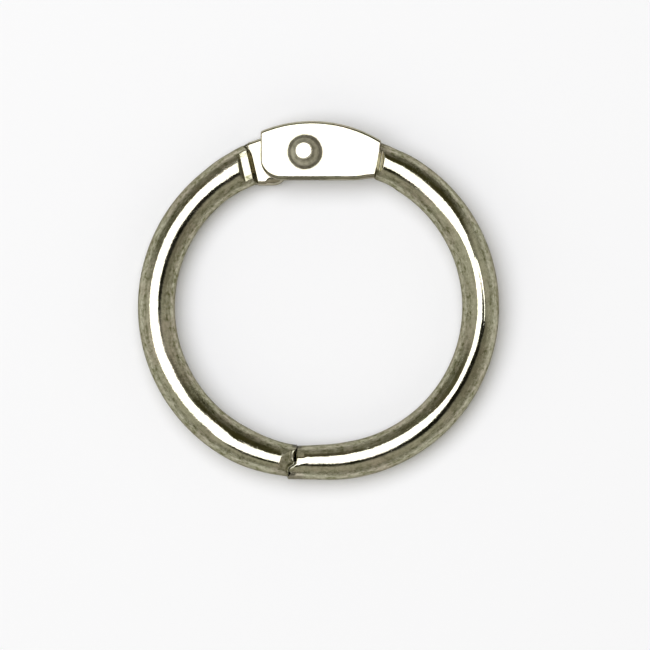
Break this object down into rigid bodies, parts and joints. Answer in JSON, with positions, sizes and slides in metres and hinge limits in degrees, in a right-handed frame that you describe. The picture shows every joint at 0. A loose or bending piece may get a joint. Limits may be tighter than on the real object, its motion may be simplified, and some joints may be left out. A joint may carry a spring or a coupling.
{
  "type": "binder ring",
  "caption": "Round wire ring that holds punched leaves: hinged half rings on a flat riveted lap joint, closing opposite the hinge at a hooked cut.",
  "frame": {"origin": "middle of the closed ring's outline, on the mid-plane of the wire", "axes": "+X across the ring to the half that moves, +Y from the closing joint to the hinge, +Z out of the front, along the rivet"},
  "size_m": [0.0322, 0.032, 0.0041],
  "materials": {
    "nickel_wire": "bright nickel plate on steel wire, finely scratched",
    "nickel_rivet": "bright nickel plate, a little duller on the formed heads"
  },
  "bodies": {
    "left_side": {"left_half": "nickel_wire", "hinge_rivet": "nickel_rivet"},
    "right_side": {"right_half": "nickel_wire"}
  },
  "joints": [
    {"name": "ring_hinge", "type": "hinge", "parent": "left_side", "child": "right_side", "pos_m": [-0.0012, 0.01325, 0], "axis": [0, 0, 1], "range_deg": [0, 155]}
  ]
}
